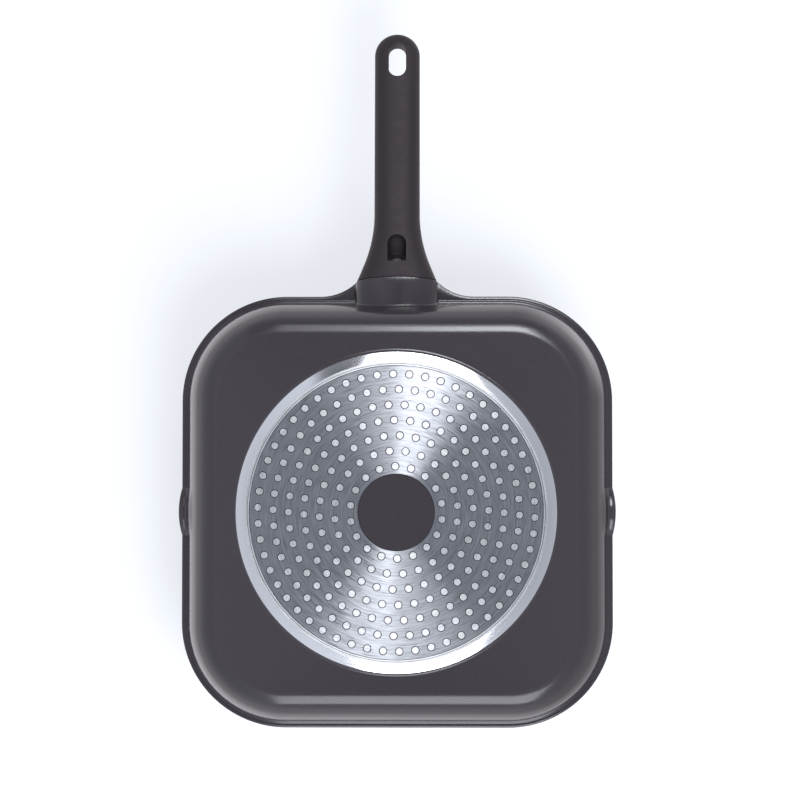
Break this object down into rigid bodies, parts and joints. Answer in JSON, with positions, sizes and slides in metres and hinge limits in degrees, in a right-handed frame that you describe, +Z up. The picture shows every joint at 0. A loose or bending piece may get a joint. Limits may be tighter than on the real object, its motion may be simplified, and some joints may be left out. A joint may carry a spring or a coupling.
{
  "type": "grill pan",
  "caption": "Square die-cast grill pan with rounded corners, side pour spouts, a ribbed floor, a round perforated induction plate under it and a straight screwed-on handle with a hanging slot.",
  "frame": {"origin": "centre of the base at hob level, where the face of the induction plate rests", "axes": "+Z up out of the pan's open top, +Y along the handle away from the pan, +X towards the left spout as seen from below with the handle up"},
  "size_m": [0.2832, 0.4549, 0.0643],
  "materials": {
    "coated_aluminium": "charcoal non-stick coating with a fine satin grain; the pad under the base is turned bare",
    "brushed_plate_steel": "concentric brushing",
    "soft_touch_phenolic": "matte soft-touch, warm dark grey",
    "screw_steel": "zinc plated",
    "washer_steel": "zinc plated",
    "spring_steel": "zinc plated",
    "insert_steel": "plain steel"
  },
  "bodies": {
    "root": {"pan_body": "coated_aluminium", "induction_plate": "brushed_plate_steel", "handle": "soft_touch_phenolic", "handle_screw": "screw_steel", "flat_washer": "washer_steel", "spring_washer": "spring_steel", "thread_insert": "insert_steel"}
  },
  "joints": []
}
